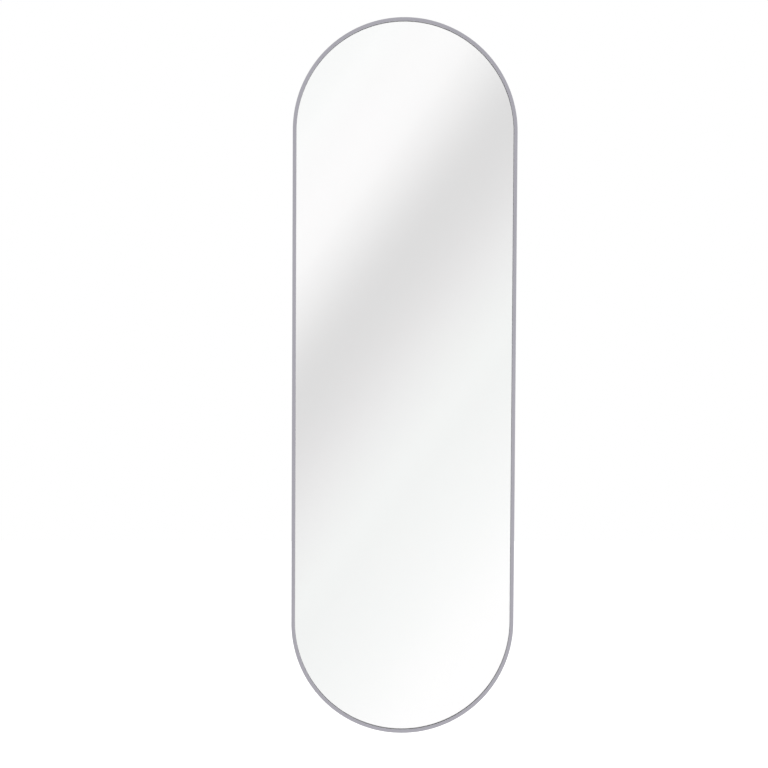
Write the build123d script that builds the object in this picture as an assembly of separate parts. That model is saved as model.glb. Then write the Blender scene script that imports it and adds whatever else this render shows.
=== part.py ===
from build123d import *
import math
import os

# Full-length wall mirror in a thin metal frame with two round ends.
# All lengths are millimetres. +Z is up, the mirror faces -Y, and +X is on the viewer's right.
# The origin lies on the wall, behind the centre of the mirror.
# An inset is measured inwards from the frame's outer edge, and a depth backwards from its front face.

# Outline, seen from the front
overall_width = 500.0
overall_height = 1600.0
face_width = 8.0

# Extruded frame section
wall_thickness = 1.5
rail_width = 18.0
channel_depth = 7.0
slot_width = 7.0
outer_edge_radius = 0.8
lip_edge_radius = 0.5
rear_edge_radius = 0.5

# Layers held in the front rebate, from the lip backwards
tape_thickness = 0.5
glass_thickness = 4.0
film_thickness = 0.2
foam_thickness = 1.5
board_thickness = 5.0
clip_space = 7.3

# Edge room around the layers
glass_edge_gap = 1.0
film_setback = 0.5
foam_setback = 1.0
board_edge_gap = 0.8
tape_edge_gap = 1.0
tape_setback = 1.0
glass_arris = 0.4
setting_block_length = 30.0
setting_block_angle = 30.0

# Bowed spring clips between the backing board and the channel floor
clip_thickness = 0.5
clip_width = 10.0
clip_foot_length = 8.0
clip_crest_length = 12.0
clip_ramp_length = 11.0
clip_bend_radius = 6.0
clip_edge_gap = 2.5
clip_outer_height = 420.0
clip_inner_height = 160.0
clip_arch_angle = 45.0

# Splice plates and grub screws that join the two frame halves
channel_side_gap = 0.2
splice_length = 90.0
splice_thickness = 3.0
splice_screw_inner = 15.0
splice_screw_outer = 35.0
grub_screw_radius = 2.5
grub_screw_recess = 2.0
grub_point_chamfer = 0.6
hex_key_size = 2.5
hex_key_depth = 2.5
thread_clearance = 0.05

# Ring hangers, screwed to nut bars in the rear channel
hinge_height = 500.0
strap_width = 10.0
strap_thickness = 1.2
strap_joggle = 0.4
strap_ramp_length = 2.0
strap_end_margin = 6.0
strap_end_radius = 4.0
knuckle_slit = 0.35
ring_wire_diameter = 2.5
ring_running_clearance = 0.05
ring_end_play = 0.45
ring_bend_radius = 1.8
ring_leg_length = 8.0
first_screw_drop = 26.0
screw_pitch = 14.0
strap_screw_radius = 2.0
strap_hole_clearance = 0.25
strap_screw_projection = 1.3
screw_head_radius = 3.8
screw_head_height = 2.4
screw_head_edge = 0.9
cross_recess_span = 4.4
cross_recess_width = 0.9
cross_recess_depth = 1.3
nut_bar_thickness = 4.0
nut_bar_end_margin = 8.0

# Rubber wall bumpers, pushed into the slot
bumper_height = 6.0
bumper_radius = 7.5
bumper_edge_radius = 1.2
bumper_stem_clearance = 0.2
bumper_stem_projection = 0.8
bumper_side_height = 275.0
bumper_arch_angle = 45.0

# Outline worked out from the values above
arch_radius = overall_width / 2
straight_length = overall_height - overall_width
arch_centre_z = straight_length / 2

# Depths worked out from the layers
glass_depth = wall_thickness + tape_thickness
film_depth = glass_depth + glass_thickness
foam_depth = film_depth + film_thickness
board_depth = foam_depth + foam_thickness
board_back_depth = board_depth + board_thickness
floor_depth = board_back_depth + clip_space
channel_depth_front = floor_depth + wall_thickness
channel_depth_back = channel_depth_front + channel_depth
frame_depth = channel_depth_back + wall_thickness
overall_depth = frame_depth + bumper_height

# Insets of the rear channel
channel_inset = rail_width / 2
slot_inset = channel_inset - slot_width / 2
channel_bar_width = rail_width - 2 * wall_thickness - 2 * channel_side_gap

# Ring hanger places worked out from its strap and wire
wire_radius = ring_wire_diameter / 2
knuckle_bore_radius = wire_radius + ring_running_clearance
knuckle_radius = knuckle_bore_radius + strap_thickness
hinge_depth = frame_depth + strap_thickness + strap_joggle + knuckle_bore_radius
ring_half_width = strap_width / 2 + ring_end_play + ring_bend_radius
screw_drops = [first_screw_drop, first_screw_drop + screw_pitch]
strap_drop = screw_drops[-1] + strap_end_margin


def at_depth(depth):
    """Y of a plane that lies the given depth behind the frame's front face."""
    return depth - overall_depth


def pill(inset):
    """Outline of the mirror drawn in by the inset, on a flat sketch plane with Y upright."""
    return SlotOverall(overall_height - 2 * inset, overall_width - 2 * inset, rotation=90)


def layer(inset, front_depth, thickness):
    """Flat sheet with the mirror's outline, from its front depth backwards."""
    back = Plane.XZ.offset(-at_depth(front_depth + thickness))
    return extrude(back * pill(inset), amount=thickness)


def rail_place(side, height, inset=channel_inset):
    """Place at the rail's front face on the left (-1) or right (+1) side rail."""
    return Pos(side * (arch_radius - inset), at_depth(0), height)


def arch_place(end, angle, inset=channel_inset):
    """The same place carried round the upper (+1) or lower (-1) arch, by an angle from its crown."""
    crown = Pos(0, 0, arch_radius - inset) * Rot(0, 90, 0)
    turn = Rot(0, angle + 90 * (1 - end), 0)
    return Pos(0, at_depth(0), end * arch_centre_z) * turn * crown


def section_bar(inset_from, inset_to, depth_from, depth_to):
    """One wall of the right rail's section, seen along Z."""
    width = inset_to - inset_from
    depth = depth_to - depth_from
    x = arch_radius - inset_from - width / 2
    y = at_depth(depth_from + depth / 2)
    return Pos(x, y) * Rectangle(width, depth)


def rounded(section, inset, depth, radius):
    """The section with its corner at this inset and depth rounded."""
    corner = section.vertices().sort_by_distance((arch_radius - inset, at_depth(depth), 0))[0]
    return fillet(corner, radius)


def rail_section():
    """Extruded section: outer wall, front lip, channel floor, inner wall and two return lips."""
    section = section_bar(0, wall_thickness, 0, frame_depth)
    section += section_bar(0, face_width, 0, wall_thickness)
    section += section_bar(0, rail_width, floor_depth, channel_depth_front)
    section += section_bar(rail_width - wall_thickness, rail_width, floor_depth, frame_depth)
    section += section_bar(0, slot_inset, channel_depth_back, frame_depth)
    section += section_bar(slot_inset + slot_width, rail_width, channel_depth_back, frame_depth)
    section = rounded(section, 0, 0, outer_edge_radius)
    section = rounded(section, face_width, 0, lip_edge_radius)
    section = rounded(section, 0, frame_depth, rear_edge_radius)
    section = rounded(section, rail_width, frame_depth, rear_edge_radius)
    return section


def frame_upper_half():
    """Upper arch with half of each side rail, bent from one length of the section."""
    section = rail_section()
    right_leg = extrude(section, amount=arch_centre_z)
    left_leg = mirror(right_leg, about=Plane.YZ)
    arch = revolve(Pos(0, 0, arch_centre_z) * section, Axis((0, 0, arch_centre_z), (0, 1, 0)), -180)
    return right_leg + arch + left_leg


def frame_lower_half():
    """Lower arch with the other half of each side rail, meeting the upper half end to end."""
    return Rot(0, 180, 0) * frame_upper_half()


def glazing_tape():
    """Thin tape between the lip and the glass, kept back from the lip's edge."""
    outer = layer(wall_thickness + tape_edge_gap, wall_thickness, tape_thickness)
    inner = layer(face_width - tape_setback, wall_thickness, tape_thickness)
    return outer - inner


def mirror_glass():
    """Silvered glass pane with arrised edges."""
    pane = layer(wall_thickness + glass_edge_gap, glass_depth, glass_thickness)
    rims = pane.faces().filter_by(Axis.Y).edges()
    return chamfer(rims, glass_arris)


def safety_film():
    """Film on the back of the glass that holds the pieces together if it breaks."""
    return layer(wall_thickness + glass_edge_gap + film_setback, film_depth, film_thickness)


def foam_sheet():
    """Soft sheet that spreads the springs' push over the glass."""
    return layer(wall_thickness + glass_edge_gap + foam_setback, foam_depth, foam_thickness)


def back_board():
    """Rigid fibreboard back."""
    return layer(wall_thickness + board_edge_gap, board_depth, board_thickness)


def setting_block(side):
    """Rubber block in the lower arch that carries the glass clear of the metal."""
    outer_radius = arch_radius - wall_thickness
    ring = Circle(outer_radius) - Circle(outer_radius - glass_edge_gap)
    half_angle = math.degrees(setting_block_length / 2 / outer_radius)
    middle = 270 + side * setting_block_angle
    reach = 2 * outer_radius
    start = (reach * math.cos(math.radians(middle - half_angle)), reach * math.sin(math.radians(middle - half_angle)))
    end = (reach * math.cos(math.radians(middle + half_angle)), reach * math.sin(math.radians(middle + half_angle)))
    wedge = make_face(Polyline((0, 0), start, end, close=True))
    back = Plane.XZ.offset(-at_depth(glass_depth + glass_thickness - glass_arris))
    return extrude(back * Pos(0, -arch_centre_z) * (ring & wedge), amount=glass_thickness - 2 * glass_arris)


def spring_clip(place):
    """Bowed steel leaf: two feet on the board and a crest under the channel floor."""
    foot = board_back_depth + clip_thickness / 2
    crest = floor_depth - clip_thickness / 2
    crest_end = clip_crest_length / 2
    foot_start = crest_end + clip_ramp_length
    foot_end = foot_start + clip_foot_length
    line = FilletPolyline(
        (foot, -foot_end),
        (foot, -foot_start),
        (crest, -crest_end),
        (crest, crest_end),
        (foot, foot_start),
        (foot, foot_end),
        radius=clip_bend_radius,
    )
    profile = Plane.YZ * trace(line.edges(), line_width=clip_thickness)
    return place * extrude(profile, amount=clip_width / 2, both=True)


def splice_plate(side):
    """Steel bar in the rear channel, bridging the joint between the frame halves."""
    middle = channel_depth_back - splice_thickness / 2
    plate = Pos(0, middle, 0) * Box(channel_bar_width, splice_thickness, splice_length)
    for height in splice_screw_heights():
        hole = Cylinder(grub_screw_radius + thread_clearance, 2 * splice_thickness, rotation=(90, 0, 0))
        plate -= Pos(0, middle, height) * hole
    return rail_place(side, 0) * plate


def splice_screw_heights():
    """Heights of the four grub screws of one splice, two in each frame half."""
    return [-splice_screw_outer, -splice_screw_inner, splice_screw_inner, splice_screw_outer]


def grub_screw():
    """Headless screw with a hexagon socket at its rear end and a chamfered point on the channel floor."""
    length = frame_depth - grub_screw_recess - channel_depth_front
    body = Cylinder(grub_screw_radius, length)
    point = body.faces().sort_by(Axis.Z)[-1].edges()
    body = chamfer(point, grub_point_chamfer)
    socket = extrude(RegularPolygon(hex_key_size / 2, 6, major_radius=False), amount=hex_key_depth)
    body -= Pos(0, 0, -length / 2) * socket
    return Pos(0, channel_depth_front + length / 2, 0) * Rot(90, 0, 0) * body


def splice_screws(side):
    """The four grub screws of one splice, as separate solids."""
    screw = grub_screw()
    return [rail_place(side, height) * screw for height in splice_screw_heights()]


def hanger_strap(side):
    """Steel strap screwed to the rail, with its upper end rolled round the ring's bar."""
    plate_front = frame_depth
    plate_back = frame_depth + strap_thickness
    ramp_top = -knuckle_radius
    ramp_foot = ramp_top - strap_ramp_length
    plate = make_face(Polyline(
        (plate_front, -strap_drop),
        (plate_back, -strap_drop),
        (plate_back, ramp_foot),
        (plate_back + strap_joggle, ramp_top),
        (plate_back + strap_joggle, 0),
        (plate_front + strap_joggle, 0),
        (plate_front + strap_joggle, ramp_top),
        (plate_front, ramp_foot),
        close=True,
    ))
    knuckle = Pos(hinge_depth, 0) * (Circle(knuckle_radius) - Circle(knuckle_bore_radius))
    slit_depth = plate_back + strap_joggle + knuckle_slit / 2
    slit = Pos(slit_depth, -knuckle_radius / 2) * Rectangle(knuckle_slit, knuckle_radius * 1.2)
    profile = (knuckle - slit) + plate
    strap = extrude(Plane.YZ * profile, amount=strap_width / 2, both=True)
    low_corners = strap.edges().filter_by(Axis.Y).group_by(Axis.Z)[0]
    strap = fillet(low_corners, strap_end_radius)
    hole = Cylinder(strap_screw_radius + strap_hole_clearance, 4 * strap_thickness, rotation=(90, 0, 0))
    for drop in screw_drops:
        strap -= Pos(0, plate_front, -drop) * hole
    return rail_place(side, hinge_height) * strap


def hanger_ring(side):
    """D-shaped wire ring that hangs straight down from the strap's knuckle."""
    half_bar = ring_half_width - ring_bend_radius
    wire = Circle(wire_radius)
    leg_foot = -ring_bend_radius - ring_leg_length
    bar = extrude(Plane.YZ * wire, amount=half_bar, both=True)
    leg = Pos(ring_half_width, 0, leg_foot) * extrude(wire, amount=ring_leg_length)
    leg_top = Pos(ring_half_width, 0, -ring_bend_radius) * wire
    corner_axis = Axis((half_bar, 0, -ring_bend_radius), (0, 1, 0))
    corner = revolve(leg_top, corner_axis, -90)
    loop_start = Pos(ring_half_width, 0, leg_foot) * wire
    loop = revolve(loop_start, Axis((0, 0, leg_foot), (0, 1, 0)), 180)
    half = leg + corner
    ring = bar + half + mirror(half, about=Plane.YZ) + loop
    return rail_place(side, hinge_height) * Pos(0, hinge_depth, 0) * ring


def nut_bar(side):
    """Steel bar behind the return lips, tapped for the strap's screws."""
    middle_depth = channel_depth_back - nut_bar_thickness / 2
    middle_drop = (screw_drops[0] + screw_drops[-1]) / 2
    length = screw_pitch + 2 * nut_bar_end_margin
    bar = Pos(0, middle_depth, -middle_drop) * Box(channel_bar_width, nut_bar_thickness, length)
    for drop in screw_drops:
        hole = Cylinder(strap_screw_radius + thread_clearance, 2 * nut_bar_thickness, rotation=(90, 0, 0))
        bar -= Pos(0, middle_depth, -drop) * hole
    return rail_place(side, hinge_height) * bar


def strap_screw():
    """Pan-head screw with a cross recess, its head seated at the origin and its shank forwards."""
    shank_length = strap_thickness + wall_thickness + nut_bar_thickness + strap_screw_projection
    head = Pos(0, 0, screw_head_height / 2) * Cylinder(screw_head_radius, screw_head_height)
    head = fillet(head.faces().sort_by(Axis.Z)[-1].edges(), screw_head_edge)
    cross = Rectangle(cross_recess_span, cross_recess_width) + Rectangle(cross_recess_width, cross_recess_span)
    head -= Pos(0, 0, screw_head_height - cross_recess_depth) * extrude(cross, amount=screw_head_height)
    shank = Pos(0, 0, -shank_length / 2) * Cylinder(strap_screw_radius, shank_length)
    return Rot(-90, 0, 0) * (head + shank)


def hanger_screws(side):
    """The two screws of one strap, as separate solids."""
    screw = Pos(0, frame_depth + strap_thickness, 0) * strap_screw()
    return [rail_place(side, hinge_height - drop) * screw for drop in screw_drops]


def wall_bumper(place):
    """Rubber foot against the wall, with a stem held in the rear slot."""
    foot = Pos(0, 0, bumper_height / 2) * Cylinder(bumper_radius, bumper_height)
    foot = fillet(foot.faces().sort_by(Axis.Z)[-1].edges(), bumper_edge_radius)
    stem_length = wall_thickness + bumper_stem_projection
    stem_radius = slot_width / 2 - bumper_stem_clearance
    stem = Pos(0, 0, -stem_length / 2) * Cylinder(stem_radius, stem_length)
    return place * Pos(0, frame_depth, 0) * Rot(-90, 0, 0) * (foot + stem)


def clip_places():
    """Places of the spring clips: four on each side rail and two on each end arch."""
    heights = [clip_outer_height, clip_inner_height, -clip_inner_height, -clip_outer_height]
    inset = wall_thickness + clip_edge_gap + clip_width / 2
    places = [rail_place(side, height, inset) for side in (-1, 1) for height in heights]
    places += [arch_place(end, side * clip_arch_angle, inset) for end in (1, -1) for side in (-1, 1)]
    return places


def bumper_places():
    """Places of the wall bumpers: two on each side rail and two on each end arch."""
    places = [rail_place(side, end * bumper_side_height) for side in (-1, 1) for end in (1, -1)]
    places += [arch_place(end, side * bumper_arch_angle) for end in (1, -1) for side in (-1, 1)]
    return places


def build():
    """Every sub-part by name: one solid each, or a list for a group of like fasteners."""
    nodes = {
        "frame_upper_half": frame_upper_half(),
        "frame_lower_half": frame_lower_half(),
        "glazing_tape": glazing_tape(),
        "mirror_glass": mirror_glass(),
        "safety_film": safety_film(),
        "foam_sheet": foam_sheet(),
        "back_board": back_board(),
    }
    for name, side in (("left", -1), ("right", 1)):
        nodes["setting_block_" + name] = setting_block(side)
        nodes["splice_plate_" + name] = splice_plate(side)
        nodes["splice_screws_" + name] = splice_screws(side)
        nodes["hanger_strap_" + name] = hanger_strap(side)
        nodes["hanger_ring_" + name] = hanger_ring(side)
        nodes["hanger_nut_bar_" + name] = nut_bar(side)
        nodes["hanger_screws_" + name] = hanger_screws(side)
    for number, place in enumerate(clip_places(), start=1):
        nodes["spring_clip_%02d" % number] = spring_clip(place)
    for number, place in enumerate(bumper_places(), start=1):
        nodes["wall_bumper_%d" % number] = wall_bumper(place)
    return nodes


def write(nodes):
    """One STEP file for each sub-part."""
    os.makedirs("parts", exist_ok=True)
    for name, shape in nodes.items():
        if isinstance(shape, list):
            shape = Compound(shape)
        export_step(shape, "parts/" + name + ".step")


write(build())
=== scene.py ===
"""Full-length wall mirror with two round ends in a thin satin metal frame.

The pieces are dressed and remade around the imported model: the bent frame rails, the silvered pane, the rolled
hangers with their rings, the fasteners and the rubber bumpers. All lengths are metres, +Z is up, the mirror
faces -Y and the wall plane is Y = 0.
"""

from __future__ import annotations

import logging
import math
from dataclasses import dataclass
from enum import Enum

import bmesh
import bpy
from mathutils import Matrix, Vector

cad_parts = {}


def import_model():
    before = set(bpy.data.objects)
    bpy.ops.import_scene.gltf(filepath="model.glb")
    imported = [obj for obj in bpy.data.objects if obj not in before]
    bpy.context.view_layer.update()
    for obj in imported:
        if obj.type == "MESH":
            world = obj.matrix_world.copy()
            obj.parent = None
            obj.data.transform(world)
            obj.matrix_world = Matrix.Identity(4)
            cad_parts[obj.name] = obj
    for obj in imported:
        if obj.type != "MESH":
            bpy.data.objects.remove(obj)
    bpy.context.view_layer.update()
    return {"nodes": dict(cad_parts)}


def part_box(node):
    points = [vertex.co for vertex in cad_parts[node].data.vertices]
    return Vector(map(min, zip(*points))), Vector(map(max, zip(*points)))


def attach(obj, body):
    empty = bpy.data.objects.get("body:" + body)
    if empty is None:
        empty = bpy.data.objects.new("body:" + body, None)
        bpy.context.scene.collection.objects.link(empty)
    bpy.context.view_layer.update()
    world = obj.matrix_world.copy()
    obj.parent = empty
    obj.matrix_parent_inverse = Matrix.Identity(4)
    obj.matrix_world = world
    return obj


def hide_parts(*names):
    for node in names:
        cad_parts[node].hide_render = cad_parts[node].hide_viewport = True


LOG = logging.getLogger("wall_mirror")

MM = 0.001
SAME = 1e-7
BODY = "mirror"
RAIL_UV = "rail"
EDGE_LAYER = "edge"

Tone = tuple[float, float, float, float]
Socket = bpy.types.NodeSocket
Source = Socket | float | tuple
Feeds = dict[str | int, Source]
Stops = tuple[tuple[float, Tone], ...]
Outputs = bpy.types.bpy_prop_collection


def tone(red: float, green: float, blue: float) -> Tone:
    """An opaque linear colour."""
    return (red, green, blue, 1.0)


def grey(level: float) -> Tone:
    """An opaque linear grey."""
    return tone(level, level, level)


DUST_TONE = tone(0.45, 0.43, 0.40)


class Side(Enum):
    """The two side rails, named as seen from the front."""

    LEFT = "left"
    RIGHT = "right"


class End(Enum):
    """The two round ends, with the turn about Y that carries the upper one there."""

    UPPER = 0.0
    LOWER = math.pi


class Passing(Enum):
    """How a ramp passes between its stops: through each of them, or softly past them."""

    THROUGH = "CARDINAL"
    PAST = "B_SPLINE"


class Effect(Enum):
    """The shader groups that more than one finish uses."""

    GRAIN = "Drawn grain"
    MOTTLE = "Soft mottle"
    WEAR = "Edge wear"
    DUST = "Settled dust"


Groups = dict[Effect, bpy.types.NodeTree]


class Graph:
    """Short ways to add and join shader nodes in one tree."""

    def __init__(self, tree: bpy.types.NodeTree, groups: Groups | None = None) -> None:
        """Keep the tree that the nodes go into, and the groups that they may use."""
        self.tree = tree
        self.groups = groups or {}

    def add(self, kind: str, feeds: Feeds | None = None, **settings: object) -> bpy.types.Node:
        """Add a node.

        Args:
            kind: The node's Blender type name.
            feeds: An output socket to link or a plain value to set, by the input's name or number.
            settings: Properties that are set on the node first.

        Returns:
            The new node.
        """
        node = self.tree.nodes.new(kind)
        for name, value in settings.items():
            setattr(node, name, value)
        for name, source in (feeds or {}).items():
            if isinstance(source, Socket):
                self.tree.links.new(source, node.inputs[name])
            else:
                node.inputs[name].default_value = source
        return node

    def sums(self, kind: str, first: Source, second: Source = 0.0, clamp: bool = False) -> Socket:
        """Result of a Math node on two values, kept from 0 to 1 where it is clamped."""
        return self.add("ShaderNodeMath", {0: first, 1: second}, operation=kind, use_clamp=clamp).outputs[0]

    def plus(self, first: Source, second: Source, clamp: bool = False) -> Socket:
        """The sum of two values."""
        return self.sums("ADD", first, second, clamp)

    def times(self, first: Source, second: Source, clamp: bool = False) -> Socket:
        """The product of two values."""
        return self.sums("MULTIPLY", first, second, clamp)

    def vectors(self, kind: str, first: Source, second: Source) -> Outputs:
        """Outputs of a Vector Math node on two vectors, or on a vector and a number where it scales."""
        feeds = {0: first, "Scale" if kind == "SCALE" else 1: second}
        return self.add("ShaderNodeVectorMath", feeds, operation=kind).outputs

    def spread(
        self, value: Source, low: Source, high: Source, start: float = 0.0, end: float = 1.0
    ) -> Socket:
        """Give start up to low and end from high on, and pass smoothly between them."""
        feeds = dict(enumerate((value, low, high, start, end)))
        return self.add("ShaderNodeMapRange", feeds, interpolation_type="SMOOTHSTEP").outputs[0]

    def blend(self, share: Source, first: Source, second: Source, kind: str = "MIX") -> Socket:
        """Mix two colours by the second one's share."""
        feeds = {0: share, 6: first, 7: second}
        return self.add("ShaderNodeMix", feeds, data_type="RGBA", blend_type=kind).outputs[2]

    def noise(self, vector: Source, scale: Source, detail: float = 2.0, rough: float = 0.5) -> Outputs:
        """Value and colour, about 0.5, of a noise with so many features to the metre."""
        feeds = {"Vector": vector, "Scale": scale, "Detail": detail, "Roughness": rough}
        return self.add("ShaderNodeTexNoise", feeds, noise_dimensions="3D").outputs

    def turned(self, vector: Source, turns: tuple[float, float, float]) -> Socket:
        """Coordinates turned about X, Y and Z, in radians."""
        return self.add("ShaderNodeMapping", {"Vector": vector, "Rotation": turns}).outputs[0]

    def apart(self, vector: Source) -> Outputs:
        """The three parts of a vector."""
        return self.add("ShaderNodeSeparateXYZ", {0: vector}).outputs

    def bump(self, height: Source, depth: float, strength: float) -> Socket:
        """A normal bent by heights from 0 to 1, where 1 stands for the depth in metres."""
        feeds = {"Height": height, "Distance": depth, "Strength": strength}
        return self.add("ShaderNodeBump", feeds).outputs[0]

    def own_place(self) -> Socket:
        """The piece's Object coordinates, in metres."""
        return self.add("ShaderNodeTexCoord").outputs["Object"]

    def use(self, effect: Effect, **values: Source) -> Socket:
        """Output of a shared effect, whose inputs are fed by name."""
        return self.add("ShaderNodeGroup", values, node_tree=self.groups[effect]).outputs[0]


class GroupGraph(Graph):
    """A shader group that takes a vector and some numbers and gives a value from 0 to 1."""

    def __init__(self, effect: Effect, **inputs: float) -> None:
        """Start the group.

        Args:
            effect: The effect that it is.
            inputs: Default values of its numbers, by name.
        """
        super().__init__(bpy.data.node_groups.new(effect.value, "ShaderNodeTree"))
        sockets = self.tree.interface
        sockets.new_socket(name="Vector", in_out="INPUT", socket_type="NodeSocketVector")
        for label, value in inputs.items():
            socket = sockets.new_socket(name=label, in_out="INPUT", socket_type="NodeSocketFloat")
            socket.default_value = value
        sockets.new_socket(name="Value", in_out="OUTPUT", socket_type="NodeSocketFloat")
        self.ins = self.add("NodeGroupInput").outputs

    def closed(self, value: Socket) -> bpy.types.NodeTree:
        """Give the value out and hand back the tree."""
        self.add("NodeGroupOutput", {0: value})
        return self.tree


def grain() -> bpy.types.NodeTree:
    """Fine lines drawn out along the vector's first axis.

    Returns:
        The group.
    """
    graph = GroupGraph(Effect.GRAIN, Lines=3000.0, Stretch=60.0)
    along, across, deep = graph.apart(graph.ins["Vector"])
    drawn = graph.sums("DIVIDE", along, graph.ins["Stretch"])
    merged = graph.add("ShaderNodeCombineXYZ", {0: drawn, 1: across, 2: deep}).outputs[0]
    return graph.closed(graph.spread(graph.noise(merged, graph.ins["Lines"], 3.0, 0.6)[0], 0.3, 0.7))


def mottle() -> bpy.types.NodeTree:
    """Soft cloudy patches.

    Returns:
        The group.
    """
    graph = GroupGraph(Effect.MOTTLE, Patches=20.0, Contrast=0.2)
    low = graph.sums("SUBTRACT", 0.5, graph.ins["Contrast"])
    high = graph.plus(0.5, graph.ins["Contrast"])
    patches = graph.noise(graph.ins["Vector"], graph.ins["Patches"], 3.0)[0]
    return graph.closed(graph.spread(patches, low, high))


def wear() -> bpy.types.NodeTree:
    """Broken brightening along marked edges.

    Returns:
        The group.
    """
    graph = GroupGraph(Effect.WEAR, Edge=0.0, Patches=300.0, Amount=0.5)
    patches = graph.noise(graph.ins["Vector"], graph.ins["Patches"], 4.0, 0.6)[0]
    worn = graph.times(graph.spread(patches, 0.35, 0.65, 0.2), graph.ins["Edge"])
    return graph.closed(graph.times(worn, graph.ins["Amount"], clamp=True))


def dust() -> bpy.types.NodeTree:
    """Thin dust that settles on faces that look up.

    Returns:
        The group.
    """
    graph = GroupGraph(Effect.DUST, Amount=0.3)
    facing = graph.apart(graph.add("ShaderNodeNewGeometry").outputs["Normal"])
    specks = graph.spread(graph.noise(graph.ins["Vector"], 90.0, 5.0, 0.65)[0], 0.3, 0.7, 0.3)
    settled = graph.times(graph.spread(facing[2], 0.2, 1.0), specks)
    return graph.closed(graph.times(settled, graph.ins["Amount"], clamp=True))


@dataclass(frozen=True)
class Finish:
    """A finish, which feeds one Principled shader."""

    name: str

    def material(self, groups: Groups) -> bpy.types.Material:
        """Build the finish.

        Args:
            groups: The shared shader groups.

        Returns:
            The material.
        """
        material = bpy.data.materials.new(self.name)
        material.use_nodes = True
        material.node_tree.nodes.clear()
        graph = Graph(material.node_tree, groups)
        shader = graph.add("ShaderNodeBsdfPrincipled", self._feeds(graph))
        graph.add("ShaderNodeOutputMaterial", {"Surface": shader.outputs[0]})
        return material

    def _feeds(self, graph: Graph) -> Feeds:
        """What goes into the shader, which each finish gives for itself."""
        raise NotImplementedError(self.name)


@dataclass(frozen=True)
class RailMetal(Finish):
    """Satin anodised aluminium, drawn along the rail."""

    name: str = "satin_aluminium"
    light: Tone = tone(0.470, 0.464, 0.508)
    dark: Tone = tone(0.405, 0.399, 0.440)
    worn: Tone = tone(0.64, 0.64, 0.66)
    fine_lines: float = 3600.0
    fine_share: float = 0.35
    broad_lines: float = 620.0
    broad_share: float = 0.30
    cloud_share: float = 0.35
    smooth: float = 0.26
    rough: float = 0.36
    line_depth: float = 0.010 * MM
    drawn_sheen: float = 0.35

    def _feeds(self, graph: Graph) -> Feeds:
        """Lines along the rail, pale wear on its rounded edges and a trace of dust.

        Args:
            graph: The material's graph.

        Returns:
            The shader's inputs by name.
        """
        along = graph.add("ShaderNodeUVMap", uv_map=RAIL_UV).outputs[0]
        marked = graph.add("ShaderNodeAttribute", attribute_name=EDGE_LAYER).outputs["Fac"]
        tangent = graph.add("ShaderNodeTangent", direction_type="UV_MAP", uv_map=RAIL_UV).outputs[0]
        place = graph.own_place()
        fine = graph.use(Effect.GRAIN, Vector=along, Lines=self.fine_lines, Stretch=130.0)
        broad = graph.use(Effect.GRAIN, Vector=along, Lines=self.broad_lines, Stretch=90.0)
        cloud = graph.use(Effect.MOTTLE, Vector=place, Patches=5.0, Contrast=0.30)
        worn = graph.use(Effect.WEAR, Vector=place, Edge=marked, Patches=240.0, Amount=0.30)
        dusty = graph.use(Effect.DUST, Vector=place, Amount=0.08)
        drawn = graph.plus(graph.times(fine, self.fine_share), graph.times(broad, self.broad_share))
        depth = graph.plus(drawn, graph.times(cloud, self.cloud_share))
        colour = graph.blend(worn, graph.blend(depth, self.dark, self.light), self.worn)
        rough = graph.spread(fine, 0.0, 1.0, self.smooth, self.rough)
        rough = graph.plus(rough, graph.times(cloud, 0.03))
        rough = graph.sums("SUBTRACT", rough, graph.times(worn, 0.08))
        return {
            "Base Color": graph.blend(dusty, colour, DUST_TONE),
            "Roughness": graph.plus(rough, graph.times(dusty, 0.4), clamp=True),
            "Metallic": 1.0,
            "Anisotropic": self.drawn_sheen,
            "Tangent": tangent,
            "Normal": graph.bump(fine, self.line_depth, 0.4),
        }


@dataclass(frozen=True)
class PlainMetal(Finish):
    """Plated or oiled steel with mottled plating, fine scratches and a little dust."""

    light: Tone
    dark: Tone
    smooth: float
    rough: float
    patches: float = 160.0
    scratch_lines: float = 2400.0
    scratch_share: float = 0.12
    scratch_depth: float = 0.006 * MM
    scratch_turns: tuple[float, float, float] = (0.5, 0.9, 0.3)
    dusty: float = 0.2

    def _feeds(self, graph: Graph) -> Feeds:
        """Cloudy plating that is smoother where it is paler, with scratches one way.

        Args:
            graph: The material's graph.

        Returns:
            The shader's inputs by name.
        """
        place = graph.own_place()
        turned = graph.turned(place, self.scratch_turns)
        cloud = graph.use(Effect.MOTTLE, Vector=place, Patches=self.patches, Contrast=0.18)
        scratch = graph.use(Effect.GRAIN, Vector=turned, Lines=self.scratch_lines, Stretch=14.0)
        dusty = graph.use(Effect.DUST, Vector=place, Amount=self.dusty)
        colour = graph.blend(cloud, self.dark, self.light)
        colour = graph.blend(graph.times(scratch, self.scratch_share), colour, self.light)
        rough = graph.spread(cloud, 0.0, 1.0, self.rough, self.smooth)
        return {
            "Base Color": graph.blend(dusty, colour, DUST_TONE),
            "Roughness": graph.plus(rough, graph.times(dusty, 0.35), clamp=True),
            "Metallic": 1.0,
            "Normal": graph.bump(scratch, self.scratch_depth, 0.3),
        }


@dataclass(frozen=True)
class ClearGlass(Finish):
    """Clear float glass with its faint green body."""

    name: str = "clear_float_glass"
    tint: Tone = tone(0.988, 0.996, 0.992)
    clearest: Tone = tone(0.992, 0.997, 0.995)
    refraction: float = 1.52

    def _feeds(self, graph: Graph) -> Feeds:
        """A clear body whose tint varies a very little.

        Args:
            graph: The material's graph.

        Returns:
            The shader's inputs by name.
        """
        haze = graph.use(Effect.MOTTLE, Vector=graph.own_place(), Patches=2.0, Contrast=0.3)
        return {
            "Base Color": graph.blend(haze, self.tint, self.clearest),
            "Roughness": 0.0,
            "IOR": self.refraction,
            "Transmission Weight": 1.0,
        }


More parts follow.
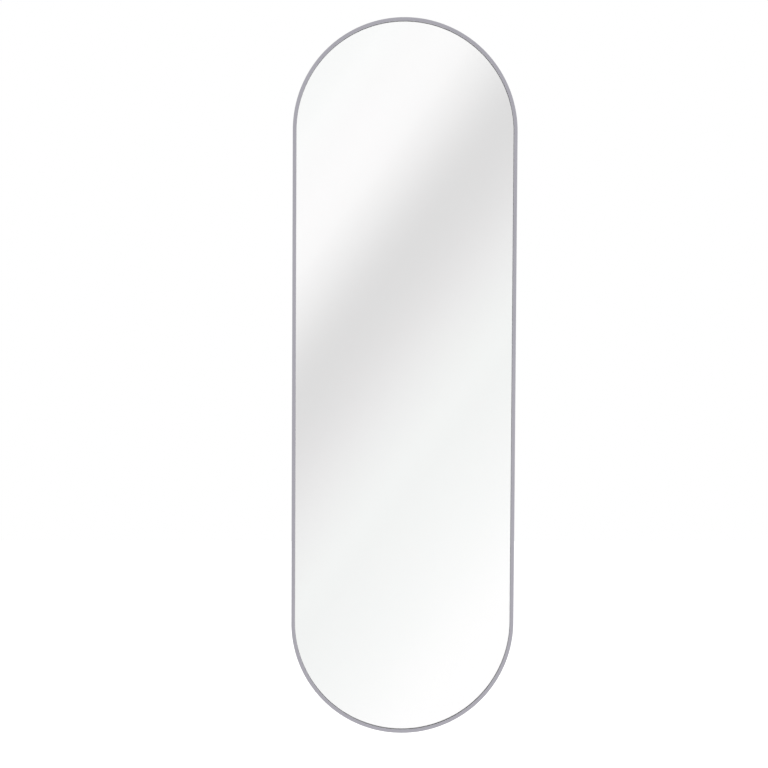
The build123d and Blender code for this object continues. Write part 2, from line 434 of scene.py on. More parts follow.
@dataclass(frozen=True)
class SilverCoat(Finish):
    """The silver layer that makes the mirror, seen through the glass."""

    name: str = "silver_coat"
    silver: Tone = tone(0.972, 0.975, 0.968)
    duller: Tone = tone(0.966, 0.972, 0.966)
    haze: float = 0.012

    def _feeds(self, graph: Graph) -> Feeds:
        """A bright coat with the faintest haze.

        Args:
            graph: The material's graph.

        Returns:
            The shader's inputs by name.
        """
        cloud = graph.use(Effect.MOTTLE, Vector=graph.own_place(), Patches=3.0, Contrast=0.25)
        return {
            "Base Color": graph.blend(cloud, self.silver, self.duller),
            "Roughness": graph.spread(cloud, 0.4, 1.0, 0.0, self.haze),
            "Metallic": 1.0,
        }


@dataclass(frozen=True)
class SoftFinish(Finish):
    """Rubber, paint, foam, film or tape: a matt body with fine tooth."""

    light: Tone
    dark: Tone
    roughness: float
    tooth: float = 2500.0
    tooth_depth: float = 0.02 * MM
    uneven: float = 0.06
    patches: float = 60.0
    dusty: float = 0.3

    def _feeds(self, graph: Graph) -> Feeds:
        """A cloudy body whose tooth bends the light and varies its gloss.

        Args:
            graph: The material's graph.

        Returns:
            The shader's inputs by name.
        """
        place = graph.own_place()
        cloud = graph.use(Effect.MOTTLE, Vector=place, Patches=self.patches, Contrast=0.2)
        dusty = graph.use(Effect.DUST, Vector=place, Amount=self.dusty)
        fine = graph.noise(place, self.tooth, 3.0, 0.6)[0]
        glossiest, dullest = self.roughness - self.uneven, self.roughness + self.uneven
        return {
            "Base Color": graph.blend(dusty, graph.blend(cloud, self.dark, self.light), DUST_TONE),
            "Roughness": graph.spread(fine, 0.3, 0.7, glossiest, dullest),
            "Normal": graph.bump(fine, self.tooth_depth, 0.6),
        }


@dataclass(frozen=True)
class Fibreboard(Finish):
    """Smooth pressed fibreboard with matted fibres and small dark flecks."""

    name: str = "pressed_fibreboard"
    light: Tone = tone(0.375, 0.252, 0.150)
    dark: Tone = tone(0.315, 0.205, 0.117)
    fleck: Tone = tone(0.150, 0.090, 0.050)
    pale: Tone = tone(0.500, 0.368, 0.240)
    turns: tuple[float, ...] = (0.35, 1.40, 2.45)
    fibres: float = 1500.0
    fibre_share: float = 0.36
    fibre_depth: float = 0.05 * MM
    flecks: float = 700.0
    fleck_share: float = 0.5
    curls: float = 170.0
    curl_reach: float = 8.0 * MM

    def _feeds(self, graph: Graph) -> Feeds:
        """Pale fibres lying several ways over a cloudy ground, with flecks.

        Args:
            graph: The material's graph.

        Returns:
            The shader's inputs by name.
        """
        place = graph.own_place()
        push = graph.vectors("SUBTRACT", graph.noise(place, self.curls)[1], (0.5, 0.5, 0.5))[0]
        bent = graph.vectors("ADD", place, graph.vectors("SCALE", push, self.curl_reach)[0])[0]
        fibre = 0.0
        for turn in self.turns:
            turned = graph.turned(bent, (0.0, turn, 0.0))
            lying = graph.use(Effect.GRAIN, Vector=turned, Lines=self.fibres, Stretch=9.0)
            fibre = graph.plus(fibre, graph.times(lying, 1 / len(self.turns)))
        fibre = graph.spread(fibre, 0.30, 0.72)
        flecks = graph.spread(graph.noise(bent, self.flecks)[0], 0.66, 0.76)
        tooth = graph.noise(place, 2600.0, 3.0, 0.6)[0]
        cloud = graph.use(Effect.MOTTLE, Vector=place, Patches=11.0, Contrast=0.45)
        colour = graph.blend(cloud, self.dark, self.light)
        colour = graph.blend(graph.times(fibre, self.fibre_share), colour, self.pale)
        height = graph.plus(graph.times(fibre, 0.6), graph.times(tooth, 0.4))
        return {
            "Base Color": graph.blend(graph.times(flecks, self.fleck_share), colour, self.fleck),
            "Roughness": graph.spread(fibre, 0.0, 1.0, 0.50, 0.64),
            "Normal": graph.bump(height, self.fibre_depth, 0.7),
        }


@dataclass(frozen=True)
class PaleFloor(Finish):
    """A matt floor that takes the object's shadow and looks white to the camera."""

    name: str = "pale_floor"
    pale: Tone = grey(0.93)
    glow: float = 0.3

    def _feeds(self, graph: Graph) -> Feeds:
        """A pale body that glows a little where the camera sees it.

        Args:
            graph: The material's graph.

        Returns:
            The shader's inputs by name.
        """
        seen = graph.add("ShaderNodeLightPath").outputs["Is Camera Ray"]
        return {
            "Base Color": self.pale,
            "Roughness": 0.9,
            "Specular IOR Level": 0.0,
            "Emission Color": grey(1.0),
            "Emission Strength": graph.times(seen, self.glow),
        }


class Look(Enum):
    """Every finish of the mirror."""

    RAIL = RailMetal()
    GLASS = ClearGlass()
    SILVER = SilverCoat()
    BOARD = Fibreboard()
    ZINC = PlainMetal("bright_zinc", tone(0.66, 0.68, 0.71), tone(0.50, 0.53, 0.57), 0.24, 0.38)
    NICKEL = PlainMetal("nickel_plate", tone(0.70, 0.68, 0.65), tone(0.58, 0.56, 0.53), 0.12, 0.22, 90.0)
    SCREW = PlainMetal("zinc_screw", tone(0.68, 0.69, 0.71), tone(0.54, 0.56, 0.59), 0.20, 0.32, 240.0)
    OXIDE = PlainMetal("black_oxide", tone(0.075, 0.075, 0.08), tone(0.035, 0.035, 0.04), 0.32, 0.5, 300.0)
    SPRING = PlainMetal(
        "blued_spring_steel", tone(0.22, 0.25, 0.33), tone(0.14, 0.15, 0.20), 0.22, 0.34, 70.0
    )
    RUBBER = SoftFinish("black_rubber", tone(0.032, 0.032, 0.033), tone(0.018, 0.018, 0.019), 0.62)
    TAPE = SoftFinish("white_glazing_tape", tone(0.76, 0.76, 0.75), tone(0.68, 0.68, 0.67), 0.7)
    PAINT = SoftFinish("mirror_backing_paint", tone(0.20, 0.24, 0.25), tone(0.15, 0.18, 0.19), 0.45)
    FILM = SoftFinish("safety_film", tone(0.42, 0.45, 0.47), tone(0.36, 0.39, 0.41), 0.35)
    FOAM = SoftFinish("white_foam", tone(0.82, 0.82, 0.80), tone(0.74, 0.74, 0.72), 0.85, 900.0, 0.1 * MM)


class Workshop:
    """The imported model's nodes and every material, with the ways to hand over a piece."""

    def __init__(self, nodes: dict[str, bpy.types.Object]) -> None:
        """Keep the nodes and build the materials.

        Args:
            nodes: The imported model's objects by name.
        """
        groups = dict(zip(Effect, (grain(), mottle(), wear(), dust())))
        self.nodes = nodes
        self.materials = {look: look.value.material(groups) for look in Look}

    def starting(self, prefix: str) -> list[str]:
        """Names of the nodes that start with a prefix, in order."""
        return sorted(name for name in self.nodes if name.startswith(prefix))

    def hand_over(self, name: str, mesh: bmesh.types.BMesh, looks: list[Look], node: str) -> None:
        """Turn a bmesh into a piece of the object.

        Args:
            name: The piece's name.
            mesh: Its shape, in place, which is freed.
            looks: Its finishes, in the order of its faces' material numbers.
            node: The CAD node that it stands for.
        """
        piece = made_object(name, mesh, [self.materials[look] for look in looks])
        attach(piece, BODY)
        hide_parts(node)
        LOG.info("%s: %d faces", name, len(piece.data.polygons))

    def dress(self, look: Look, prefix: str) -> None:
        """Give CAD nodes a better material.

        Args:
            look: The finish.
            prefix: What the nodes' names start with.
        """
        for name in self.starting(prefix):
            for place in self.nodes[name].material_slots:
                place.link = "OBJECT"
                place.material = self.materials[look]
            LOG.info("%s: dressed in %s", name, look.value.name)


def made_object(name: str, mesh: bmesh.types.BMesh, materials: list[bpy.types.Material]) -> bpy.types.Object:
    """Make an object of a bmesh.

    Args:
        name: The object's name.
        mesh: Its shape, which is freed.
        materials: Its materials in slot order.

    Returns:
        The object, in the scene.
    """
    data = bpy.data.meshes.new(name)
    mesh.to_mesh(data)
    mesh.free()
    for material in materials:
        data.materials.append(material)
    piece = bpy.data.objects.new(name, data)
    bpy.context.scene.collection.objects.link(piece)
    return piece


def only(kind: type, items: list) -> list:
    """The items of one kind."""
    return [item for item in items if isinstance(item, kind)]


def half_turn(mesh: bmesh.types.BMesh, items: list, middle: tuple[float, float, float], steps: int) -> list:
    """Sweep vertices or edges over half a circle, to the left over the top or back under the foot.

    Args:
        mesh: The shape.
        items: What is swept.
        middle: The circle's middle.
        steps: Steps round it.

    Returns:
        The vertices and edges at the end.
    """
    turned = bmesh.ops.spin(mesh, geom=items, cent=middle, axis=(0, -1, 0), angle=math.pi, steps=steps)
    return turned["geom_last"]


def bevel(
    mesh: bmesh.types.BMesh, chosen: list, width: float, affect: str = "EDGES", segments: int = 1
) -> list[bmesh.types.BMVert]:
    """Bevel edges or vertices, narrower where two bevels would meet.

    Args:
        mesh: The shape.
        chosen: The edges or vertices.
        width: Width of the bevel.
        affect: Whether it works on EDGES or VERTICES.
        segments: Steps across it.

    Returns:
        The new vertices.
    """
    made = bmesh.ops.bevel(
        mesh,
        geom=chosen,
        offset=width,
        affect=affect,
        segments=segments,
        profile=0.5,
        clamp_overlap=True,
        material=-1,
    )
    return made["verts"]


def thicken(mesh: bmesh.types.BMesh, faces: list[bmesh.types.BMFace], depth: float) -> None:
    """Give flat faces a thickness along Y.

    Args:
        mesh: The shape.
        faces: The faces.
        depth: How far they are drawn out.
    """
    grown = bmesh.ops.extrude_face_region(mesh, geom=faces)["geom"]
    bmesh.ops.translate(mesh, verts=only(bmesh.types.BMVert, grown), vec=(0.0, depth, 0.0))
    bmesh.ops.recalc_face_normals(mesh, faces=mesh.faces)


def smooth_by_angle(mesh: bmesh.types.BMesh, limit: float) -> None:
    """Shade faces smooth and keep edges sharper than the limit crisp.

    Args:
        mesh: The shape.
        limit: Largest smooth angle between faces, in radians.
    """
    for face in mesh.faces:
        face.smooth = True
    for edge in mesh.edges:
        if edge.is_manifold and edge.calc_face_angle(0.0) > limit:
            edge.smooth = False


def rounded_face(
    mesh: bmesh.types.BMesh, corners: list[tuple[Vector, float]], steps: int, fine: float
) -> list[bmesh.types.BMVert]:
    """Draw a flat face with rounded corners.

    Args:
        mesh: The shape it goes into.
        corners: Place and radius of each corner, in order.
        steps: Steps round a corner.
        fine: Radius up to which a corner has a single step.

    Returns:
        The vertices of the rounded corners.
    """
    points = [mesh.verts.new(place) for place, _ in corners]
    mesh.faces.new(points)
    made = []
    for radius in sorted({radius for _, radius in corners if radius > 0}):
        chosen = [point for point, (_, size) in zip(points, corners) if size == radius]
        made += bevel(mesh, chosen, radius, "VERTICES", steps if radius > fine else 1)
    return made


def draw_pill(mesh: bmesh.types.BMesh, half_width: float, spring: float, depth: float, steps: int) -> None:
    """Draw the mirror's outline as a closed loop of edges.

    Args:
        mesh: The shape it goes into.
        half_width: Radius of the round ends.
        spring: Height where each round end begins.
        depth: Y of the loop.
        steps: Steps round each end.
    """
    start = point = mesh.verts.new((half_width, depth, spring))
    for side in (1.0, -1.0):
        turned = half_turn(mesh, [point], (0.0, depth, side * spring), steps)
        arch_end = only(bmesh.types.BMVert, turned)[0]
        point = start if side < 0 else mesh.verts.new((-half_width, depth, -spring))
        mesh.edges.new((arch_end, point))


@dataclass
class RailFrame:
    """The two bent halves of the extruded rail, with their rear channel."""

    face_width: float = 8.0 * MM
    wall: float = 1.5 * MM
    rail_width: float = 18.0 * MM
    channel_depth: float = 7.0 * MM
    slot_width: float = 7.0 * MM
    front_radius: float = 0.8 * MM
    lip_radius: float = 0.5 * MM
    rear_radius: float = 0.5 * MM
    broken_edge: float = 0.12 * MM
    saw_cut_edge: float = 0.06 * MM
    wear_width: float = 0.8 * MM
    round_steps: int = 4
    arch_steps: int = 144
    smooth_angle: float = math.radians(40)
    saw_cut_angle: float = 1.0

    def build(self, shop: Workshop) -> None:
        """Make both halves.

        Args:
            shop: What takes the pieces.
        """
        low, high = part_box("frame_upper_half")
        for end in End:
            node = "frame_" + end.name.lower() + "_half"
            mesh = self._half(low, high)
            turn = Matrix.Rotation(end.value, 3, "Y")
            bmesh.ops.rotate(mesh, verts=mesh.verts, cent=(0, 0, 0), matrix=turn)
            shop.hand_over(node + "_rail", mesh, [Look.RAIL], node)

    def _corners(self, low: Vector, high: Vector) -> list[tuple[Vector, float]]:
        """Corners of the section in order, each with the radius of its rounding.

        Args:
            low: Lowest corner of the upper half.
            high: Highest corner of the upper half.

        Returns:
            Place and radius of each corner, at the foot of the right rail.
        """
        depth = high.y - low.y
        inner = self.rail_width - self.wall
        rear = depth - self.wall
        channel = rear - self.channel_depth
        floor = channel - self.wall
        slot_near = (self.rail_width - self.slot_width) / 2
        slot_far = slot_near + self.slot_width
        fine = self.broken_edge
        insets = [
            (0.0, 0.0, self.front_radius),
            (self.face_width, 0.0, self.lip_radius),
            (self.face_width, self.wall, fine),
            (self.wall, self.wall, fine),
            (self.wall, floor, fine),
            (self.rail_width, floor, fine),
            (self.rail_width, depth, self.rear_radius),
            (slot_far, depth, fine),
            (slot_far, rear, fine),
            (inner, rear, fine),
            (inner, channel, fine),
            (self.wall, channel, fine),
            (self.wall, rear, fine),
            (slot_near, rear, fine),
            (slot_near, depth, fine),
            (0.0, depth, self.rear_radius),
        ]
        return [(Vector((high.x - inset, low.y + back, 0.0)), radius) for inset, back, radius in insets]

    def _half(self, low: Vector, high: Vector) -> bmesh.types.BMesh:
        """Sweep the section up one side, over the arch and down the other.

        Args:
            low: Lowest corner of the upper half.
            high: Highest corner of the upper half.

        Returns:
            The half's shape.
        """
        spring = high.z - high.x
        mesh = bmesh.new()
        self._section(mesh, low, high)
        rim = self._raise(mesh, list(mesh.edges), spring)
        turned = half_turn(mesh, rim, (0.0, 0.0, spring), self.arch_steps)
        rim = self._raise(mesh, only(bmesh.types.BMEdge, turned), -spring)
        bmesh.ops.contextual_create(mesh, geom=rim)
        bmesh.ops.recalc_face_normals(mesh, faces=mesh.faces)
        self._map(mesh, high.x, spring)
        self._break_ends(mesh)
        smooth_by_angle(mesh, self.smooth_angle)
        return mesh

    def _section(self, mesh: bmesh.types.BMesh, low: Vector, high: Vector) -> None:
        """Draw the section at the foot of the right rail, with its edges marked for wear.

        Args:
            mesh: The shape it goes into.
            low: Lowest corner of the upper half.
            high: Highest corner of the upper half.
        """
        across = mesh.verts.layers.float.new("across")
        marked = mesh.verts.layers.float.new(EDGE_LAYER)
        corners = self._corners(low, high)
        for point in rounded_face(mesh, corners, self.round_steps, self.broken_edge):
            point[marked] = 1.0
        for edge in list(mesh.edges):
            length = edge.calc_length()
            if length > 3 * self.wear_width:
                first, second = edge.verts
                for point, span in ((first, length), (second, length - self.wear_width)):
                    _, added = bmesh.utils.edge_split(edge, point, self.wear_width / span)
                    added[marked] = 0.0
        mesh.faces.ensure_lookup_table()
        travelled = 0.0
        for loop in mesh.faces[0].loops:
            loop.vert[across] = travelled
            travelled += loop.edge.calc_length()

    def _raise(self, mesh: bmesh.types.BMesh, rim: list, height: float) -> list[bmesh.types.BMEdge]:
        """Extend the sweep straight along Z.

        Args:
            mesh: The half's shape.
            rim: Edges at the end of the sweep.
            height: How far it goes.

        Returns:
            The edges at its new end.
        """
        grown = bmesh.ops.extrude_edge_only(mesh, edges=rim)["geom"]
        bmesh.ops.translate(mesh, verts=only(bmesh.types.BMVert, grown), vec=(0.0, 0.0, height))
        return only(bmesh.types.BMEdge, grown)

    def _break_ends(self, mesh: bmesh.types.BMesh) -> None:
        """Break the sawn edges of both legs, where the halves meet in a hairline joint.

        Args:
            mesh: The half's shape.
        """
        low = [edge for edge in mesh.edges if all(abs(vert.co.z) < SAME for vert in edge.verts)]
        rims = [edge for edge in low if edge.calc_face_angle(0.0) > self.saw_cut_angle]
        bevel(mesh, rims, self.saw_cut_edge)

    def _map(self, mesh: bmesh.types.BMesh, radius: float, spring: float) -> None:
        """Write the rail map: length along the rail, then length round the section, in metres.

        Args:
            mesh: The half's shape.
            radius: Outer radius of the arch.
            spring: Height where the arch begins.
        """
        across = mesh.verts.layers.float["across"]
        rail = mesh.loops.layers.uv.new(RAIL_UV)
        round_length = max(point[across] for point in mesh.verts)
        for face in mesh.faces:
            values = [loop.vert[across] for loop in face.loops]
            wraps = max(values) - min(values) > round_length / 2
            for loop in face.loops:
                around = loop.vert[across]
                if wraps and around < round_length / 2:
                    around += round_length
                loop[rail].uv = (self._along(loop.vert.co, radius, spring), around)

    def _along(self, point: Vector, radius: float, spring: float) -> float:
        """Length along the outer face from the foot of the right rail.

        Args:
            point: A point of the half.
            radius: Outer radius of the arch.
            spring: Height where the arch begins.

        Returns:
            The length in metres.
        """
        if point.z > spring:
            return spring + radius * math.atan2(point.z - spring, point.x)
        return point.z if point.x > 0 else spring + radius * math.pi + spring - point.z


@dataclass
class GlassPack:
    """The glazing tape, the glass pane with its silver coat, and the layers behind them.

    The coat lies just inside the back of the glass and the tape wets its front.
    """

    lip_width: float
    arris: float = 0.4 * MM
    coat: float = 0.05 * MM
    tape_setback: float = 1.0 * MM
    wetting: float = 0.02 * MM
    arch_steps: int = 128
    smooth_angle: float = math.radians(20)

    def build(self, shop: Workshop) -> None:
        """Make the tape, the pane and its coat, and dress the layers behind.

        Args:
            shop: What takes the pieces.
        """
        low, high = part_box("mirror_glass")
        spring = high.z - high.x
        glass = self._slab(high.x, spring, low.y, high.y, self.arris)
        shop.hand_over("glass_pane", glass, [Look.GLASS], "mirror_glass")
        coat = self._slab(high.x - self.arris, spring, high.y - 2 * self.coat, high.y - self.coat)
        for face in coat.faces:
            face.material_index = 0 if face.normal.y < -0.5 else 1
        shop.hand_over("silver_backing", coat, [Look.SILVER, Look.PAINT], "mirror_glass")
        self._tape(shop, spring)
        shop.dress(Look.FILM, "safety_film")
        shop.dress(Look.FOAM, "foam_sheet")
        shop.dress(Look.BOARD, "back_board")
        shop.dress(Look.RUBBER, "setting_block_")
        shop.dress(Look.SPRING, "spring_clip_")

    def _slab(
        self, half_width: float, spring: float, front: float, back: float, arris: float = 0.0
    ) -> bmesh.types.BMesh:
        """A flat plate with the mirror's outline.

        Args:
            half_width: Half its width.
            spring: Height where each round end begins.
            front: Y of its front face.
            back: Y of its back face.
            arris: Width of its bevelled rims, or 0.

        Returns:
            The plate's shape.
        """
        mesh = bmesh.new()
        draw_pill(mesh, half_width, spring, back, self.arch_steps)
        face = bmesh.ops.contextual_create(mesh, geom=list(mesh.edges))["faces"][0]
        thicken(mesh, [face], front - back)
        if arris > 0:
            rims = [edge for edge in mesh.edges if abs(edge.verts[0].co.y - edge.verts[1].co.y) < SAME]
            bevel(mesh, rims, arris)
        smooth_by_angle(mesh, self.smooth_angle)
        return mesh

    def _tape(self, shop: Workshop, spring: float) -> None:
        """Make the thin tape between the lip and the glass.

        Args:
            shop: What takes the pieces.
            spring: Height where each round end begins.
        """
        low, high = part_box("glazing_tape")
        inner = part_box("frame_upper_half")[1].x - self.lip_width + self.tape_setback
        mesh = bmesh.new()
        for half_width in (high.x, inner):
            draw_pill(mesh, half_width, spring, low.y, self.arch_steps)
        ring = bmesh.ops.bridge_loops(mesh, edges=list(mesh.edges))["faces"]
        thicken(mesh, ring, high.y - low.y + self.wetting)
        smooth_by_angle(mesh, self.smooth_angle)
        shop.hand_over("glazing_tape_ring", mesh, [Look.TAPE], "glazing_tape")


@dataclass
class Hardware:
    """Splices, hangers and their fasteners: copies of the CAD nodes with softly broken edges."""

    weld: float = 0.002 * MM
    flat_angle: float = math.radians(1.0)
    sharp_angle: float = math.radians(38)
    plate_edge: float = 0.14 * MM
    screw_edge: float = 0.07 * MM

    def build(self, shop: Workshop) -> None:
        """Make every piece of the two splices and the two hangers.

        Args:
            shop: What takes the pieces.
        """
        pieces = [
            ("splice_plate_", Look.ZINC, "zinc_steel", self.plate_edge),
            ("splice_screws_", Look.OXIDE, "dark_steel", self.screw_edge),
            ("hanger_nut_bar_", Look.ZINC, "zinc_steel", self.plate_edge),
            ("hanger_strap_", Look.ZINC, "zinc_steel", self.plate_edge),
            ("hanger_screws_", Look.SCREW, "screw_steel", self.screw_edge),
        ]
        for side in Side:
            for kind, look, slot, width in pieces:
                node = kind + side.value
                mesh = self._softened(shop.nodes[node].data, width)
                shop.hand_over(node + "_worked", mesh, [look], node)
            shop.dress(Look.NICKEL, "hanger_ring_" + side.value)

    def _softened(self, source: bpy.types.Mesh, width: float) -> bmesh.types.BMesh:
        """Copy a node's mesh with its flats cleaned and its sharp edges broken.

        Args:
            source: The node's mesh, which stays as it is.
            width: Width of the broken edges.

        Returns:
            The copy.
        """
        mesh = bmesh.new()
        mesh.from_mesh(source)
        bmesh.ops.remove_doubles(mesh, verts=mesh.verts, dist=self.weld)
        bmesh.ops.dissolve_limit(mesh, angle_limit=self.flat_angle, verts=mesh.verts, edges=mesh.edges)
        closed = [edge for edge in mesh.edges if edge.is_manifold]
        sharp = [edge for edge in closed if edge.calc_face_angle(0.0) > self.sharp_angle]
        bevel(mesh, sharp, width, segments=2)
        smooth_by_angle(mesh, self.sharp_angle)
        return mesh


@dataclass
class WallBumpers:
    """Moulded rubber feet with a shallow dimple, pushed into the rear slot."""

    foot_edge: float = 1.2 * MM
    base_edge: float = 0.3 * MM
    stem_radius: float = 3.3 * MM
    stem_edge: float = 0.5 * MM
    height: float = 6.0 * MM
    draft: float = 0.2 * MM
    dimple_radius: float = 2.4 * MM
    dimple_depth: float = 0.8 * MM
    dimple_edge: float = 0.4 * MM
    weld: float = 0.001 * MM
    turn_steps: int = 64
    round_steps: int = 5
    smooth_angle: float = math.radians(35)

    def build(self, shop: Workshop) -> None:
        """Make all the bumpers where the frame has them.

        Args:
            shop: What takes the pieces.
        """
        for node in shop.starting("wall_bumper_"):
            low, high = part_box(node)
            shop.hand_over(node + "_moulded", self._foot(low, high), [Look.RUBBER], node)

    def _foot(self, low: Vector, high: Vector) -> bmesh.types.BMesh:
        """Turn one bumper about its own axis.

        Args:
            low: Lowest corner of its node.
            high: Highest corner of its node.

        Returns:
            The bumper's shape, in place.
        """
        radius = (high.x - low.x) / 2
        wall, tip = high.y, low.y
        foot = wall - self.height
        profile = [
            (0.0, wall - self.dimple_depth, 0.0),
            (self.dimple_radius - self.dimple_depth, wall - self.dimple_depth, self.dimple_edge),
            (self.dimple_radius, wall, self.base_edge),
            (radius - self.draft, wall, self.foot_edge),
            (radius, foot, self.base_edge),
            (self.stem_radius, foot, 0.0),
            (self.stem_radius, tip, self.stem_edge),
            (0.0, tip, 0.0),
        ]
        mesh = bmesh.new()
        corners = [(Vector((out, back, 0.0)), size) for out, back, size in profile]
        rounded_face(mesh, corners, self.round_steps, self.base_edge)
        bmesh.ops.delete(mesh, geom=list(mesh.faces), context="FACES_ONLY")
        axis = [edge for edge in mesh.edges if all(abs(vert.co.x) < SAME for vert in edge.verts)]
        bmesh.ops.delete(mesh, geom=axis, context="EDGES")
        bmesh.ops.spin(
            mesh,
            geom=[*mesh.verts, *mesh.edges],
            cent=(0, 0, 0),
            axis=(0, 1, 0),
            angle=math.tau,
            steps=self.turn_steps,
            use_merge=True,
        )
        bmesh.ops.remove_doubles(mesh, verts=mesh.verts, dist=self.weld)
        bmesh.ops.recalc_face_normals(mesh, faces=mesh.faces)
        middle = (low + high) / 2
        bmesh.ops.translate(mesh, verts=mesh.verts, vec=(middle.x, 0.0, middle.z))
        smooth_by_angle(mesh, self.smooth_angle)
        return mesh


@dataclass
class PhotoCamera:
    """The camera, a little left of the mirror's middle and turned slightly down."""

    distance: float = 3.0
    across: float = -0.1522
    height: float = 0.0860
    pitch: float = math.radians(1.894)
    yaw: float = math.radians(2.047)
    roll: float = math.radians(0.302)
    focal_pixels: float = 1345.0
    frame_pixels: float = 768.0
    sensor: float = 36.0
    nearest: float = 0.05
    farthest: float = 60.0

    def build(self) -> None:
        """Make the camera and choose it."""
        data = bpy.data.cameras.new("photo_camera")
        data.sensor_width = self.sensor
        data.lens = self.focal_pixels / self.frame_pixels * self.sensor
        data.clip_start = self.nearest
        data.clip_end = self.farthest
        camera = bpy.data.objects.new("photo_camera", data)
        bpy.context.scene.collection.objects.link(camera)
        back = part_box("frame_upper_half")[0].y - self.distance
        camera.matrix_world = Matrix.Translation((self.across, back, self.height)) @ self._turn()
        bpy.context.scene.camera = camera

    def _turn(self) -> Matrix:
        """The camera's rotation.

        Returns:
            A 4 by 4 rotation whose -Z is the view direction.
        """
        reach = math.cos(self.pitch)
        forward = Vector((math.sin(self.yaw) * reach, math.cos(self.yaw) * reach, -math.sin(self.pitch)))
        level = Vector((math.cos(self.yaw), -math.sin(self.yaw), 0.0))
        upright = level.cross(forward)
        right = level * math.cos(self.roll) + upright * math.sin(self.roll)
        above = right.cross(forward)
        return Matrix((right, above, -forward)).transposed().to_4x4()


def hidden_in_mirrors(item: bpy.types.Object) -> None:
    """Keep a piece of the studio out of reflections and refractions.

    Args:
        item: The floor or a lamp.
    """
    item.visible_glossy = False
    item.visible_transmission = False


@dataclass(frozen=True)
class Lamp:
    """A soft square lamp that looks at the mirror and can't be seen itself."""

    name: str
    place: tuple[float, float, float]
    size: float = 2.2
    power: float = 60.0

    def build(self) -> None:
        """Make the lamp."""
        data = bpy.data.lights.new(self.name, "AREA")
        data.shape = "SQUARE"
        data.size = self.size
        data.energy = self.power
        lamp = bpy.data.objects.new(self.name, data)
        bpy.context.scene.collection.objects.link(lamp)
        place = Vector(self.place)
        turn = (-place).to_track_quat("-Z", "Y").to_matrix().to_4x4()
        lamp.matrix_world = Matrix.Translation(place) @ turn
        lamp.visible_camera = False
        hidden_in_mirrors(lamp)


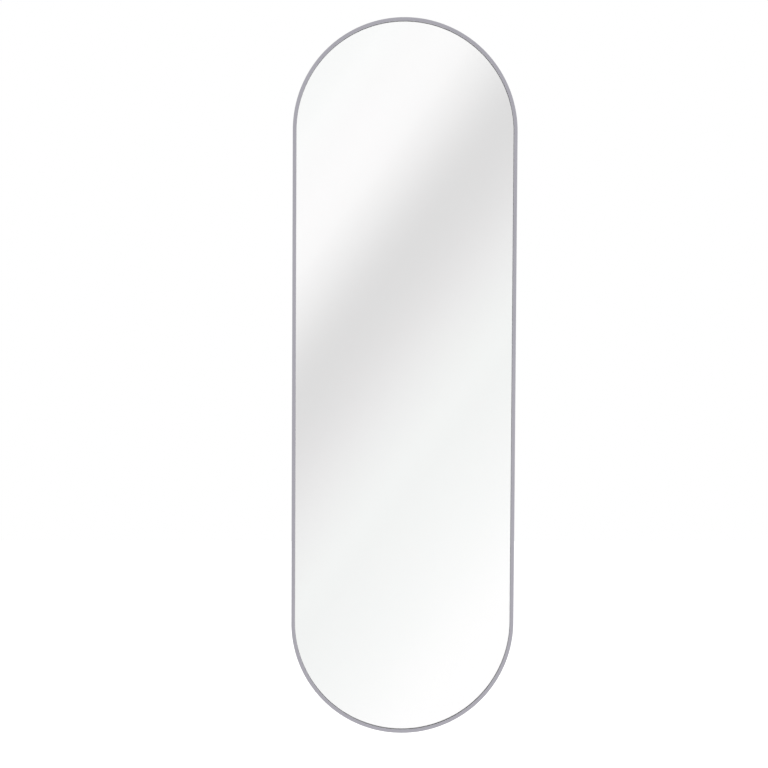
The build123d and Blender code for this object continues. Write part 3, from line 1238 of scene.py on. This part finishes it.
@dataclass
class Studio:
    """White surroundings with one soft grey band, a pale floor and two soft lamps.

    The band crosses the surroundings where the mirror shows it from the front. The half behind the mirror,
    which only the rear hardware shows, has a darker ground and two dark upright flags.
    """

    floor_height: float = -1.05
    floor_size: float = 9.0
    band_normal: tuple[float, float, float] = (0.8010, 0.0113, -0.5985)
    white: Tone = tone(1.049, 1.033, 1.044)
    plain: Tone = grey(0.80)
    band: Stops = (
        (-1.000, tone(0.720, 0.725, 0.722)),
        (-0.450, tone(0.820, 0.826, 0.823)),
        (-0.126, tone(0.946, 0.957, 0.952)),
        (-0.100, tone(0.960, 0.962, 0.961)),
        (-0.076, grey(0.964)),
        (-0.058, grey(0.920)),
        (-0.033, grey(0.798)),
        (-0.006, grey(0.722)),
        (0.037, grey(0.803)),
        (0.078, tone(0.888, 0.903, 0.895)),
        (0.105, tone(0.892, 0.908, 0.900)),
        (0.165, tone(0.950, 0.961, 0.956)),
        (0.215, grey(1.0)),
        (0.400, grey(0.955)),
        (0.700, tone(0.820, 0.820, 0.825)),
        (1.000, tone(0.740, 0.740, 0.745)),
    )
    rear: Stops = (
        (-1.00, tone(0.36, 0.36, 0.37)),
        (-0.40, tone(0.46, 0.46, 0.47)),
        (-0.08, tone(0.60, 0.60, 0.61)),
        (0.06, grey(0.86)),
        (0.35, grey(1.0)),
        (1.00, tone(0.90, 0.90, 0.91)),
    )
    rear_from: float = 0.03
    rear_full: float = 0.30
    flag_inner: tuple[float, float] = (0.30, 0.44)
    flag_outer: tuple[float, float] = (0.60, 0.78)
    flag_share: float = 0.55
    flag_tone: Tone = tone(0.30, 0.30, 0.31)
    lamps: tuple[Lamp, ...] = (Lamp("key_lamp", (-2.6, -2.8, 2.6)), Lamp("rear_lamp", (2.4, 2.9, 2.2)))

    def build(self) -> None:
        """Make the surroundings, the floor and the lamps."""
        self._world()
        self._floor()
        for lamp in self.lamps:
            lamp.build()
        bpy.context.scene.view_settings.view_transform = "Standard"

    def _world(self) -> None:
        """Light the scene from all round and give the mirror and the metal something to show."""
        world = bpy.data.worlds.new("white_studio")
        bpy.context.scene.world = world
        world.use_nodes = True
        world.node_tree.nodes.clear()
        graph = Graph(world.node_tree)
        direction = graph.add("ShaderNodeTexCoord").outputs["Generated"]
        across, back, up = graph.apart(direction)
        rearward = graph.spread(back, self.rear_from, self.rear_full)
        shown = graph.blend(rearward, self._ahead(graph, direction), self._behind(graph, across, up))
        path = graph.add("ShaderNodeLightPath").outputs
        mirrored = graph.sums("MAXIMUM", path["Is Glossy Ray"], path["Is Transmission Ray"])
        plain = graph.blend(path["Is Camera Ray"], self.plain, grey(1.0))
        light = graph.add("ShaderNodeBackground", {"Color": graph.blend(mirrored, plain, shown)})
        graph.add("ShaderNodeOutputWorld", {"Surface": light.outputs[0]})

    def _ahead(self, graph: Graph, direction: Socket) -> Socket:
        """Colour of the surroundings in front of the mirror.

        Args:
            graph: The world's graph.
            direction: The direction looked in.

        Returns:
            The colour's socket.
        """
        height = graph.vectors("DOT_PRODUCT", direction, self.band_normal)["Value"]
        colour = self._ramp(graph, height, self.band, Passing.THROUGH)
        return graph.blend(1.0, colour, self.white, "MULTIPLY")

    def _behind(self, graph: Graph, across: Socket, up: Socket) -> Socket:
        """Colour of the surroundings behind the mirror.

        Args:
            graph: The world's graph.
            across: X of the direction looked in.
            up: Z of the direction looked in.

        Returns:
            The colour's socket.
        """
        aside = graph.sums("ABSOLUTE", across)
        past_inner = graph.spread(aside, *self.flag_inner)
        inside = graph.times(past_inner, graph.spread(aside, *self.flag_outer, 1.0, 0.0))
        colour = self._ramp(graph, up, self.rear, Passing.PAST)
        return graph.blend(graph.times(inside, self.flag_share), colour, self.flag_tone)

    def _ramp(self, graph: Graph, value: Socket, stops: Stops, kind: Passing) -> Socket:
        """Colour a value from -1 to 1.

        Args:
            graph: The world's graph.
            value: The value.
            stops: Value and colour of each stop, in order.
            kind: How the ramp passes between its stops.

        Returns:
            The colour's socket.
        """
        node = graph.add("ShaderNodeValToRGB", {0: graph.plus(graph.times(value, 0.5), 0.5)})
        ramp = node.color_ramp
        ramp.interpolation = kind.value
        while len(ramp.elements) < len(stops):
            ramp.elements.new(0.5)
        for element, (offset, colour) in zip(ramp.elements, stops):
            element.position = 0.5 + offset / 2
            element.color = colour
        return node.outputs[0]

    def _floor(self) -> None:
        """Lay the floor under the mirror."""
        mesh = bmesh.new()
        bmesh.ops.create_grid(mesh, x_segments=1, y_segments=1, size=self.floor_size / 2)
        bmesh.ops.translate(mesh, verts=mesh.verts, vec=(0.0, 0.0, self.floor_height))
        floor = made_object("floor", mesh, [PaleFloor().material({})])
        hidden_in_mirrors(floor)


def main() -> None:
    """Load the frame and build the mirror, the studio and the camera in order."""
    logging.basicConfig(level=logging.INFO, format="%(message)s")
    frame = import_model()
    shop = Workshop(frame["nodes"])
    rails = RailFrame()
    rails.build(shop)
    GlassPack(rails.face_width).build(shop)
    Hardware().build(shop)
    WallBumpers().build(shop)
    Studio().build()
    PhotoCamera().build()


if __name__ == "__main__":
    main()
